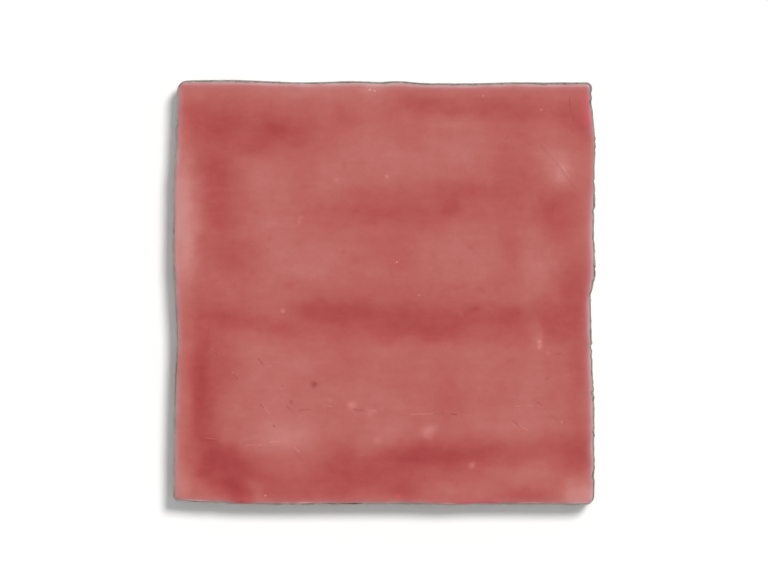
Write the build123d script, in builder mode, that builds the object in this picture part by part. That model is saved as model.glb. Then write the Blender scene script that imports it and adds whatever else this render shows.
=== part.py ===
from build123d import *
import os
from math import exp

# Hand-made glazed wall tile, lying on its back. Sizes are in millimetres.
# The origin is the middle of the flat back, +Z points out of the glazed face and +Y is the top
# of the tile as it hangs on a wall.

# Driving dimensions
tile_side = 130.0  # nominal length and width, at the widest line of the edge
tile_thickness = 10.0  # from the back to the middle of the face
glaze_drop = 3.6  # from the face down to the belt, the widest line, where the glaze stops
face_lean = 0.45  # how far the edge leans in from the belt up to the face
back_lean = 0.6  # how far the edge leans in from the belt down to the back
edge_wander = 1.05  # the most that a side stands out from its straight line, or in from it
shoulder_radius = 1.4  # soft turn of the face into the edge
arris_width = 0.4  # worn lower edge round the back
face_fall = 0.3  # how much lower the face lies at the middle of a side than at its centre
hollow_depth = 0.45  # the deepest hollow of the face

# Key of the back: a flat border round a field of shallow slots, with flat ribs between them
back_border = 9.0
slot_count = 8
rib_width = 6.0
slot_depth = 0.8
slot_flank = 35.0  # slope of the slots' sides, in degrees from the upright

# Corners, clockwise from the top left: which way each one lies along X and Y, and how far it
# stands out along X and Y, as a share of the wander. In plan each is rounded by the shoulder
# and its ease
corners = [(-1, 1, -0.88, 0.45), (1, 1, -0.69, -0.03), (1, -1, 0.04, 0.51), (-1, -1, 0.21, -0.57)]
corner_ease = [2.0, 0.4, 1.2, 0.4]

# Sides, clockwise from the top: waypoints between the corners. The first number is the place
# along the side, as a share of the half side, and the second how far the edge stands out there,
# as a share of the wander
top_side = [(-0.88, 0.64), (-0.7, 0.67), (-0.55, 0.32), (-0.4, 0.0), (-0.28, 0.11), (-0.15, 0.32),
            (-0.02, 0.08), (0.07, 0.32), (0.17, -0.17), (0.34, -0.33), (0.5, -0.2), (0.62, 0.0),
            (0.8, -0.07), (0.92, -0.03)]
right_side = [(0.9, -0.51), (0.8, -0.08), (0.69, 0.4), (0.59, 0.11), (0.44, 0.19), (0.3, -0.05),
              (0.14, 0.24), (0.07, 0.16), (0.03, -0.4), (-0.04, -0.99), (-0.14, -0.85), (-0.28, -0.61),
              (-0.42, -0.32), (-0.56, 0.07), (-0.72, 0.0), (-0.86, 0.11)]
bottom_side = [(0.88, 0.69), (0.7, 0.6), (0.46, 0.51), (0.31, 0.85), (0.18, 0.61), (0.03, 0.48),
               (-0.18, 0.53), (-0.38, 0.63), (-0.62, 0.59), (-0.74, 0.35), (-0.88, -0.08)]
left_side = [(-0.86, 0.21), (-0.7, 0.13), (-0.52, -0.11), (-0.37, -0.37), (-0.21, -0.75),
             (-0.08, -0.43), (0.04, -0.08), (0.16, 0.32), (0.32, 0.27), (0.48, 0.16), (0.59, 0.07),
             (0.68, -0.45), (0.78, -0.59), (0.89, -0.89)]

# Hollows pressed into the face, where the glaze pools: centre x and y, then half length and half
# width, as shares of the half side, and the depth as a share of the deepest
hollows = [
    (-0.63, 0.76, 0.30, 0.15, 0.7),
    (-0.80, 0.46, 0.08, 0.18, 0.5),
    (0.38, 0.87, 0.30, 0.08, 0.4),
    (0.88, 0.82, 0.12, 0.10, 0.3),
    (0.10, 0.41, 0.30, 0.09, 0.5),
    (0.81, 0.38, 0.10, 0.09, 0.4),
    (0.05, -0.12, 1.00, 0.09, 0.9),
    (-0.87, -0.41, 0.08, 0.24, 0.7),
    (-0.75, -0.82, 0.16, 0.13, 1.0),
    (-0.13, -0.83, 0.20, 0.10, 0.8),
    (0.28, -0.78, 0.30, 0.09, 0.7),
    (0.88, -0.78, 0.12, 0.08, 0.4),
]

# Mesh of places at which the height of the face is worked out, a little wider than the tile
face_stations = 21
face_margin = 3.0
face_tolerance = 0.02

# Sizes that follow
half_side = tile_side / 2
belt_height = tile_thickness - glaze_drop
blank_height = tile_thickness + shoulder_radius
blank_lean = face_lean * (blank_height - belt_height) / glaze_drop
field_side = tile_side - 2 * back_border
slot_pitch = (field_side + rib_width) / slot_count
slot_width = slot_pitch - rib_width
face_step = (tile_side + 2 * face_margin) / (face_stations - 1)


def outline_at(height, lean):
    """Outline of the tile at one height, drawn in from the belt by the lean of its edge."""
    reach = half_side - lean

    def out(share):
        return reach + share * edge_wander

    points = [(way_x * out(share_x), way_y * out(share_y)) for way_x, way_y, share_x, share_y in corners]
    top_left, top_right, bottom_right, bottom_left = points
    top = [(place * reach, out(share)) for place, share in top_side]
    right = [(out(share), place * reach) for place, share in right_side]
    bottom = [(place * reach, -out(share)) for place, share in bottom_side]
    left = [(-out(share), place * reach) for place, share in left_side]
    with BuildSketch(Plane.XY.offset(height)) as outline:
        with BuildLine():
            Spline(top_left, *top, top_right)
            Spline(top_right, *right, bottom_right)
            Spline(bottom_right, *bottom, bottom_left)
            Spline(bottom_left, *left, top_left)
        make_face()
        for point, ease in zip(points, corner_ease):
            fillet(outline.vertices().sort_by_distance(point)[0], shoulder_radius + ease)
    return outline.sketch


def face_height(x, y):
    """Height of the face: a low crown that falls towards the sides, less every hollow."""
    share_x = x / half_side
    share_y = y / half_side
    height = tile_thickness - face_fall * (share_x**2 + share_y**2)
    for centre_x, centre_y, half_length, half_width, depth in hollows:
        along = (share_x - centre_x) / half_length
        across = (share_y - centre_y) / half_width
        height -= hollow_depth * depth * exp(-(along**2) - across**2)
    return height


# Face: one smooth surface through the heights
stations = [(number - (face_stations - 1) / 2) * face_step for number in range(face_stations)]
face = Face.make_surface_from_array_of_points(
    [[(x, y, face_height(x, y)) for y in stations] for x in stations], tol=face_tolerance
)

with BuildPart() as tile:
    # Blank: the outline at the back, at the belt and above the face, with straight walls between
    back_outline = outline_at(0, back_lean)
    belt_outline = outline_at(belt_height, 0)
    blank_outline = outline_at(blank_height, blank_lean)
    loft([back_outline, belt_outline, blank_outline], ruled=True)

    # The face trims the blank, and the shoulder is rolled over all round it
    split(bisect_by=face, keep=Keep.BOTTOM)
    fillet(tile.faces().sort_by(Axis.Z)[-1].edges(), shoulder_radius)

    # Back: the worn arris, then the slots of the key sunk into the flat
    chamfer(tile.faces().sort_by(Axis.Z)[0].edges(), arris_width)
    with BuildSketch(Plane.XY):
        with GridLocations(slot_pitch, 0, slot_count, 1):
            SlotOverall(field_side, slot_width, rotation=90)
    extrude(amount=slot_depth, taper=slot_flank, mode=Mode.SUBTRACT)

tile.part.label = "tile"
os.makedirs("parts", exist_ok=True)
export_step(tile.part, "parts/tile.step")
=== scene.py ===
import bpy
import numpy as np
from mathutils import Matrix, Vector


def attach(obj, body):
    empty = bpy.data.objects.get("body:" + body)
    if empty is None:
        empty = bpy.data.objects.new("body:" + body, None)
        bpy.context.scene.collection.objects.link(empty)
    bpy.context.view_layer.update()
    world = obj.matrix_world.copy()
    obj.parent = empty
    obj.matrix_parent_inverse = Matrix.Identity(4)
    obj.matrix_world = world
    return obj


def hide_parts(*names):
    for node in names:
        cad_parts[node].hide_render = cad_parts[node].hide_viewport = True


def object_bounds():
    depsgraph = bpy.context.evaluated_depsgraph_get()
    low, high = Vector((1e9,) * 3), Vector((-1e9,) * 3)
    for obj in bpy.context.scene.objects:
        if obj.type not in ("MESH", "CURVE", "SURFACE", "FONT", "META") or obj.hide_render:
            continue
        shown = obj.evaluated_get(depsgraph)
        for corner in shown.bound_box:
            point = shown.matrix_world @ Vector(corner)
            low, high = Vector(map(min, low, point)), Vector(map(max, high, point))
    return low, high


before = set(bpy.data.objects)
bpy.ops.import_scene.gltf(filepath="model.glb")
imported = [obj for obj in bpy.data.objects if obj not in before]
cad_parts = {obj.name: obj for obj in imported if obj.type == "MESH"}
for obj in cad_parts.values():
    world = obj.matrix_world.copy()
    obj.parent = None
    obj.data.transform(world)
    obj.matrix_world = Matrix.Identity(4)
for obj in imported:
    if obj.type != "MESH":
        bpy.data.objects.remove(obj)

cadLow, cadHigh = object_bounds()
millimetre = 0.001


# Form of the tile, in millimetres
tileForm = {
    "halfSide": 65,  # at the belt, the widest line of the edge
    "thickness": 10,
    "beltHeight": 6.4,
    "faceLean": 0.45,  # the edge leans in by this from the belt up to the face
    "backLean": 0.6,  # and by this down to the back
    "wander": 1.05,  # the most that a side stands out or in
    "wanderReach": 7.5,  # how far in from the edge a side's wander is felt
    "shoulder": 1.4,  # radius of the turn from the face into the edge
    "arris": 0.4,  # width of the worn edge round the back
    "arrisRound": 0.12,  # how far the ring that rounds it stands in and up
    "faceFall": 0.3,
    "hollowDepth": 0.45,
    # round corners, anticlockwise from the bottom left
    "cornerRadii": [1.8, 2.6, 1.8, 3.4],
    # waypoints of each side: place as a share of the half side, then out as a share of the wander
    "bottom": [(-1, -0.57), (-0.88, -0.08), (-0.74, 0.35), (-0.62, 0.59), (-0.38, 0.63), (-0.18, 0.53),
               (0.03, 0.48), (0.18, 0.61), (0.31, 0.85), (0.46, 0.51), (0.7, 0.6), (0.88, 0.69), (1, 0.51)],
    "right": [(-1, 0.04), (-0.86, 0.11), (-0.72, 0), (-0.56, 0.07), (-0.42, -0.32), (-0.28, -0.61),
              (-0.14, -0.85), (-0.04, -0.99), (0.03, -0.4), (0.07, 0.16), (0.14, 0.24), (0.3, -0.05),
              (0.44, 0.19), (0.59, 0.11), (0.69, 0.4), (0.8, -0.08), (0.9, -0.51), (1, -0.69)],
    "top": [(-1, 0.45), (-0.88, 0.64), (-0.7, 0.67), (-0.55, 0.32), (-0.4, 0), (-0.28, 0.11),
            (-0.15, 0.32), (-0.02, 0.08), (0.07, 0.32), (0.17, -0.17), (0.34, -0.33), (0.5, -0.2),
            (0.62, 0), (0.8, -0.07), (0.92, -0.03), (1, -0.03)],
    "left": [(-1, 0.21), (-0.86, 0.21), (-0.7, 0.13), (-0.52, -0.11), (-0.37, -0.37), (-0.21, -0.75),
             (-0.08, -0.43), (0.04, -0.08), (0.16, 0.32), (0.32, 0.27), (0.48, 0.16), (0.59, 0.07),
             (0.68, -0.45), (0.78, -0.59), (0.89, -0.89), (1, -0.88)],
    # hollows of the face, as shares of the half side: centre, half length, half width, share of the depth
    "hollows": [
        (-0.63, 0.76, 0.3, 0.15, 0.7), (-0.8, 0.46, 0.08, 0.18, 0.5), (0.38, 0.87, 0.3, 0.08, 0.4),
        (0.88, 0.82, 0.12, 0.1, 0.3), (0.1, 0.41, 0.3, 0.09, 0.5), (0.81, 0.38, 0.1, 0.09, 0.4),
        (0.05, -0.12, 1, 0.09, 0.9), (-0.87, -0.41, 0.08, 0.24, 0.7), (-0.75, -0.82, 0.16, 0.13, 1),
        (-0.13, -0.83, 0.2, 0.1, 0.8), (0.28, -0.78, 0.3, 0.09, 0.7), (0.88, -0.78, 0.12, 0.08, 0.4),
    ],
}
# how far the edge leans in for each millimetre that it rises above the belt
faceSlope = tileForm["faceLean"] / (tileForm["thickness"] - tileForm["beltHeight"])

# How finely the surface is divided
meshPlan = {
    "faceHalf": 60,  # the face's square grid reaches this far, and rings follow the edge outside it
    "faceCells": 180,
    "straightStations": 330,  # along each side
    "cornerStations": 24,
    # rings between the shoulder and the face's grid, as shares of the way in
    "bandShares": [0.82, 0.62, 0.44, 0.28, 0.16, 0.07, 0],
    "shoulderRings": 8,
    "clayShares": [0.12, 0.3, 0.5, 0.75, 1],  # from under the lip to the belt
    "wallHeights": [5.2, 3.9, 2.6, 1.3, 0.4],  # from the belt down to the back
    "backHalf": 57.5,  # the back's square grid
    "borderShares": [0.3, 0.6, 0.88],  # rings between the edge and that grid
    "slotColumns": [-0.3, 0.8, 1.9, 3.2],  # further columns, in from each side of a slot
    "slotMargin": 0.2,
    "slotEndRows": 18,
    "slotRows": 15,
    "sharpAngle": 40,  # degrees past which an edge stays sharp
}


# Smooth step from 0 to 1: 3s² - 2s³.
def easeBetween(low, high, value):
    s = np.clip((value - low) / (high - low), 0, 1)
    return s * s * (3 - 2 * s)


# Points over plan (x, y) at a height.
def pointsAt(x, y, height=0.0):
    return np.stack([x, y, np.broadcast_to(height, x.shape)], -1)


# Line through waypoints: over the share s of each gap, the cubic that leaves and meets its ends at the
# slope from the waypoint before to the one after, and level at the two last.
def throughWaypoints(waypoints, at):
    spots, outs = np.array(waypoints, float).T
    slopes = np.zeros(len(spots))
    slopes[1:-1] = (outs[2:] - outs[:-2]) / (spots[2:] - spots[:-2])
    gapIndex = np.clip(np.searchsorted(spots, at) - 1, 0, len(spots) - 2)
    gap = spots[gapIndex + 1] - spots[gapIndex]
    s = (at - spots[gapIndex]) / gap
    start = outs[gapIndex] * (1 + 2 * s) * (1 - s) ** 2 + slopes[gapIndex] * gap * s * (1 - s) ** 2
    end = outs[gapIndex + 1] * s * s * (3 - 2 * s) + slopes[gapIndex + 1] * gap * s * s * (s - 1)
    return start + end


# Plan of the hand-made tile from a straight one: x moves by the wander of the right or left side at y, and y
# by that of the top or bottom side at x, fully at the edge and fading to nothing further in.
def wanderPlan(x, y):
    half = tileForm["halfSide"]

    def push(across, along, positive, negative):
        felt = easeBetween(half - tileForm["wanderReach"], half, np.abs(across))
        place = np.clip(along / half, -1, 1)
        out = throughWaypoints(tileForm[positive], place)
        back = -throughWaypoints(tileForm[negative], place)
        return tileForm["wander"] * felt * np.where(across > 0, out, back)

    return x + push(x, y, "right", "left"), y + push(y, x, "top", "bottom")


# Height of the face: thickness - fall(x² + y²) - the sum of the hollows, each its depth times
# exp(-(along² + across²)).
def faceHeight(x, y):
    u = x / tileForm["halfSide"]
    v = y / tileForm["halfSide"]
    height = tileForm["thickness"] - tileForm["faceFall"] * (u**2 + v**2)
    for centreX, centreY, halfLength, halfWidth, depth in tileForm["hollows"]:
        along = (u - centreX) / halfLength
        across = (v - centreY) / halfWidth
        height = height - tileForm["hollowDepth"] * depth * np.exp(-(along**2) - across**2)
    return height


# Edge path of the straight tile, anticlockwise from the bottom left: along each side, then round its corner,
# as the plan (x, y) and the outward normal at every station.
def edgePath():
    half = tileForm["halfSide"]
    radii = tileForm["cornerRadii"]
    plan = []
    normals = []
    for side in range(4):
        radius = radii[(side + 1) % 4]
        run = np.linspace(-half + radii[side], half - radius, meshPlan["straightStations"], endpoint=False)
        straight = np.stack([run, np.full_like(run, -half)], -1)
        facing = np.stack([np.zeros_like(run), np.full_like(run, -1.0)], -1)
        angle = np.linspace(-np.pi / 2, 0, meshPlan["cornerStations"], endpoint=False)
        aroundCorner = np.stack([np.cos(angle), np.sin(angle)], -1)
        corner = np.array([half - radius, -half + radius]) + radius * aroundCorner
        turn = side * np.pi / 2
        turned = np.array([[np.cos(turn), np.sin(turn)], [-np.sin(turn), np.cos(turn)]])
        plan += [straight @ turned, corner @ turned]
        normals += [facing @ turned, aroundCorner @ turned]
    return np.concatenate(plan), np.concatenate(normals)


noiseForm = {
    "heights": 4093,  # how many random heights there are
    "primes": (73856093, 19349663, 83492791),  # large primes that scatter the cells over them
}


# Soft noise from -1 to 1: random heights at the corners of cells of one size, mixed by 3s² - 2s³ between
# them.
def softNoise(points, cellSize, seed):
    heights = np.random.default_rng(seed).uniform(-1, 1, noiseForm["heights"])
    spot = points / cellSize
    cell = np.floor(spot).astype(np.int64)
    share = easeBetween(0, 1, spot - cell)
    total = np.zeros(spot.shape[:-1])
    for step in np.ndindex(2, 2, 2):
        key = ((cell + step) * noiseForm["primes"]).sum(-1) % len(heights)
        weight = np.where(step, share, 1 - share).prod(-1)
        total += heights[key] * weight
    return total


# Sum of layers of soft noise, each given as its cell size, its strength and its seed.
def layeredNoise(points, layers):
    return sum(strength * softNoise(points, cellSize, seed) for cellSize, strength, seed in layers)


# Edge as fired: how ragged it is, where bits have broken off it, and the painted shadow under its lip
edgeWearAndShade = {
    # how far round the shoulder the glaze runs on each side, in degrees
    "lipAngles": {"right": 44, "top": 38.5, "left": 42, "bottom": 52.0},
    "lipWaver": 8,
    "waverNoise": [(3.1, 0.7, 11), (1.1, 0.5, 12)],  # layers of noise: cell size, strength, seed
    # stretches where it runs further, or less far: x and y on the edge, half length, degrees
    "runs": [
        (-43.5, -65, 4, 14), (30, -65, 9.5, 17), (-24.5, -65, 3, 6), (65, 47, 12, 6), (-50, 65, 14, -7),
        (48, 65, 16, -6),
    ],
    "glazeThickness": 0.14,
    "thicknessNoise": [(2.3, 0.4, 13)],
    "lipTop": 0.05,  # how far under the lip's top its round front begins
    "lipFront": 0.07,  # how far it stands out there
    "lipFoot": 0.09,  # and at its foot
    "stepFade": 1.5,  # how suddenly the step under the lip runs out down the clay
    # how far the clay is torn in or out on each side
    "clayRoughness": {"right": 0.15, "top": 0.09, "left": 0.09, "bottom": 0.1},
    "roughBias": 0.15,
    "roughNoise": [(1.7, 0.5, 21), (0.8, 0.35, 22)],
    "tearBias": -0.3,
    "tearNoise": [(0.9, 1, 23), (0.45, 0.7, 24)],
    "tearHeights": (4, 6),  # tears fade in between these
    # stretches where it is torn more finely: x and y on the edge, half length, how far
    "torn": [
        (65, 47.4, 3.6, 0.26), (65, 28, 4, 0.22), (65, 14, 1.6, 0.25), (65, 7.3, 4.4, 0.4),
        (65, -2.5, 1.2, 0.25), (65, -17, 1.6, 0.35), (65, -30.3, 3, 0.2), (65, -43.3, 1.6, 0.25),
        (65, -54.8, 3.6, 0.3), (-9, -65, 5, 0.12), (-30, -65, 5, 0.12),
    ],
    "biteLifts": 40,  # degrees by which a bit one millimetre deep lifts the lip
    "biteAtBack": 0.4,  # what is left of its depth at the back
    # broken bits: x and y on the edge, half length, depth
    "bites": [
        (65, 61.5, 0.9, 0.25), (65, 58.2, 1.5, 0.35), (65, 44.4, 0.7, 0.12), (65, 24.9, 0.9, 0.22),
        (65, 16.5, 0.6, 0.12), (65, 3.4, 0.6, 0.2), (65, -0.6, 0.7, 0.2), (65, -16.7, 0.8, 0.3),
        (65, -19.8, 0.6, 0.15), (65, -31.2, 0.8, 0.2), (65, -43, 0.6, 0.12), (65, -56.6, 1.2, 0.25),
        (65, 34.4, 0.7, 0.15), (64, 63.6, 0.6, 0.2), (-50, -65, 1, 0.2), (-62, -65, 1.2, 0.1),
        (-65, 52, 0.9, 0.2), (-65, 39.8, 1, 0.15),
    ],
    # painted shadow in the gaps between the glaze and the clay: how dark the bottom one is all along, and
    # the deeper stretches, as x and y on the edge, half length, how dark
    "bottomUnderLipShade": 0.3,
    "underLipShadows": [
        (-57, -64.5, 3, 0.9), (-44, -64.5, 1.4, 1), (-31, -64.5, 3.2, 0.6), (-23.2, -64.5, 2.1, 1),
        (-16.5, -64.5, 1.2, 0.5), (-9.8, -64.5, 3.6, 0.9), (2.8, -64.5, 2.4, 0.5), (-64.5, 19, 0.8, 0.6),
        (-64.5, -10, 6, 0.35), (-64.5, -24, 6, 0.5),
    ],
}


# Sum of stretches of the edge at (x, y): each amount times exp(-(distance / half length)^4).
def alongEdge(stretches, x, y):
    total = np.zeros(x.shape)
    for centreX, centreY, halfLength, amount in stretches:
        away = np.hypot(x - centreX, y - centreY) / halfLength
        total = total + amount * np.exp(-(away**4))
    return total


# How squarely the edge faces each side, from 0 to 1: the square of its normal that way.
def facingSides(normals):
    normalX, normalY = normals.T
    facings = {"right": normalX, "left": -normalX, "top": normalY, "bottom": -normalY}
    return {side: np.clip(facing, 0, 1) ** 2 for side, facing in facings.items()}


# A value that each side has its own of: the sum of the four, each times how squarely the edge faces it.
def blendSides(values, facings):
    return sum(values[side] * facing for side, facing in facings.items())


# How far round the shoulder the glaze runs, in radians: each side's angle, wavering with noise, less what
# the broken bits lift it by, and more or less in its stretches.
def lipAngle(plan, facings, bite):
    x, y = plan.T
    waver = edgeWearAndShade["lipWaver"] * layeredNoise(pointsAt(x, y), edgeWearAndShade["waverNoise"])
    degrees = blendSides(edgeWearAndShade["lipAngles"], facings) + waver - edgeWearAndShade["biteLifts"] * bite
    return np.radians(degrees + alongEdge(edgeWearAndShade["runs"], x, y))


# Start of the shoulder: the height of the face there, and its inset, from which the turn runs into the
# leaning wall: slope(height - radius above the belt) + radius √(1 + slope²).
def shoulderStart(plan, normals):
    radius = tileForm["shoulder"]
    faceRim = faceHeight(*wanderPlan(*(plan - radius * normals).T))
    inset = faceSlope * (faceRim - radius - tileForm["beltHeight"]) + radius * np.sqrt(1 + faceSlope**2)
    return inset, faceRim


# Rings of the edge from the shoulder down to the back, as insets from the edge path and heights, and how
# many are glaze. Round the shoulder they are start - radius sin(angle) and face - radius(1 - cos(angle)).
# The lip then turns under by the glaze's thickness, and the clay goes on down the shoulder and the wall.
def edgeRings(plan, start, faceRim, lip, bite):
    radius = tileForm["shoulder"]
    belt = tileForm["beltHeight"]
    level = np.zeros(len(plan))
    rings = []
    for share in np.linspace(0, 1, meshPlan["shoulderRings"] + 1)[1:]:
        angle = share * lip
        inset = start - radius * np.sin(angle) + bite * share**2
        rings.append((inset, faceRim - radius * (1 - np.cos(angle))))
    uneven = 1 + layeredNoise(pointsAt(*plan.T), edgeWearAndShade["thicknessNoise"])
    thickness = edgeWearAndShade["glazeThickness"] * uneven
    lipInset, lipHeight = rings[-1]
    for onward, under in ((edgeWearAndShade["lipFront"], edgeWearAndShade["lipTop"]), (edgeWearAndShade["lipFoot"], thickness)):
        inset = lipInset - onward * np.cos(lip) + under * np.sin(lip)
        rings.append((inset, lipHeight - onward * np.sin(lip) - under * np.cos(lip)))
    glazeRings = len(rings)
    underLip = rings[-1][1]
    wallTop = faceRim - radius + radius * faceSlope / np.sqrt(1 + faceSlope**2)
    for share in meshPlan["clayShares"]:
        height = underLip + (belt - underLip) * share
        rise = np.clip(height - faceRim + radius, 0, radius)
        onShoulder = start - np.sqrt(radius**2 - rise**2)
        inset = np.where(height > wallTop, onShoulder, faceSlope * (height - belt))
        rings.append((inset + thickness * (1 - share) ** edgeWearAndShade["stepFade"] + bite, height))
    for height in meshPlan["wallHeights"]:
        left = edgeWearAndShade["biteAtBack"] + (1 - edgeWearAndShade["biteAtBack"]) * height / belt
        rings.append((tileForm["backLean"] * (1 - height / belt) + bite * left, level + height))
    for inset, height in ((tileForm["arrisRound"], tileForm["arrisRound"]), (tileForm["arris"], 0)):
        rings.append((level + tileForm["backLean"] + inset, level + height))
    insets, heights = np.stack(rings, 1)
    return insets, heights, glazeRings


# How far the clay is torn in at points of the rings: each side's roughness times coarse noise, and more of
# fine noise where the edge is torn, but nothing at the very back.
def tornClay(plan, points, facings):
    heights = points[..., 2]
    coarse = edgeWearAndShade["roughBias"] + layeredNoise(points, edgeWearAndShade["roughNoise"])
    fine = edgeWearAndShade["tearBias"] + layeredNoise(points, edgeWearAndShade["tearNoise"])
    torn = alongEdge(edgeWearAndShade["torn"], *plan.T) * easeBetween(*edgeWearAndShade["tearHeights"], heights)
    return (blendSides(edgeWearAndShade["clayRoughness"], facings) * coarse + torn * fine) * (heights > 0)


# Key of the back: a row of blind slots for the adhesive, in millimetres
backKey = {
    "slots": 8,
    "pitch": 14.75,
    "slotHalfWidth": 4.375,
    "slotHalfLength": 56,
    "slotDepth": 0.8,
    "flank": 0.56,  # how far a slot's side slopes in over its depth
    "softness": 0.12,  # worn edges of the slots
}


# Height of the back: 0, raised inside each slot by its depth, over a flank that is eased at both ends. The
# distance is taken from the slot's middle line, so its ends are round.
def backHeight(x, y):
    pitch = backKey["pitch"]
    number = np.clip(np.round(x / pitch - 0.5), -backKey["slots"] / 2, backKey["slots"] / 2 - 1)
    offX = x - (number + 0.5) * pitch
    offY = np.clip(np.abs(y) - (backKey["slotHalfLength"] - backKey["slotHalfWidth"]), 0, None)
    inside = backKey["slotHalfWidth"] - np.hypot(offX, offY)
    soft = backKey["softness"]
    flank = backKey["flank"]

    def rampFrom(start):
        over = inside - start
        return np.where(over > soft, over, np.clip(over + soft, 0, None) ** 2 / (4 * soft))

    return backKey["slotDepth"] * (rampFrom(soft) - rampFrom(flank - soft)) / (flank - 2 * soft)


# Grid over the back as x and y: close columns where the sides of the slots rise, and close rows round their
# ends.
def backGrid():
    flank = backKey["flank"]
    soft = backKey["softness"]
    marks = np.array([0, 2 * soft, flank - 2 * soft, flank])
    inwards = np.concatenate([marks, (marks[1:] + marks[:-1]) / 2, meshPlan["slotColumns"]])
    columns = backKey["slotHalfWidth"] - inwards
    columns = np.unique(np.round(np.concatenate([columns, -columns, [0]]), 4))  # any that meet are one
    centres = (np.arange(backKey["slots"]) - (backKey["slots"] - 1) / 2) * backKey["pitch"]
    acrossSlots = (centres[:, None] + columns).ravel()
    ends = [-meshPlan["backHalf"], meshPlan["backHalf"]]
    backX = np.unique(np.concatenate([acrossSlots, centres[:-1] + backKey["pitch"] / 2, ends]))
    slotEnd = backKey["slotHalfLength"] + meshPlan["slotMargin"]
    roundStart = backKey["slotHalfLength"] - backKey["slotHalfWidth"] - meshPlan["slotMargin"]
    roundEnd = np.linspace(roundStart, slotEnd, meshPlan["slotEndRows"])
    alongSlots = np.linspace(-roundStart, roundStart, meshPlan["slotRows"])
    backY = np.unique(np.concatenate([roundEnd, -roundEnd, alongSlots, ends]))
    return np.meshgrid(backX, backY)


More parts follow.
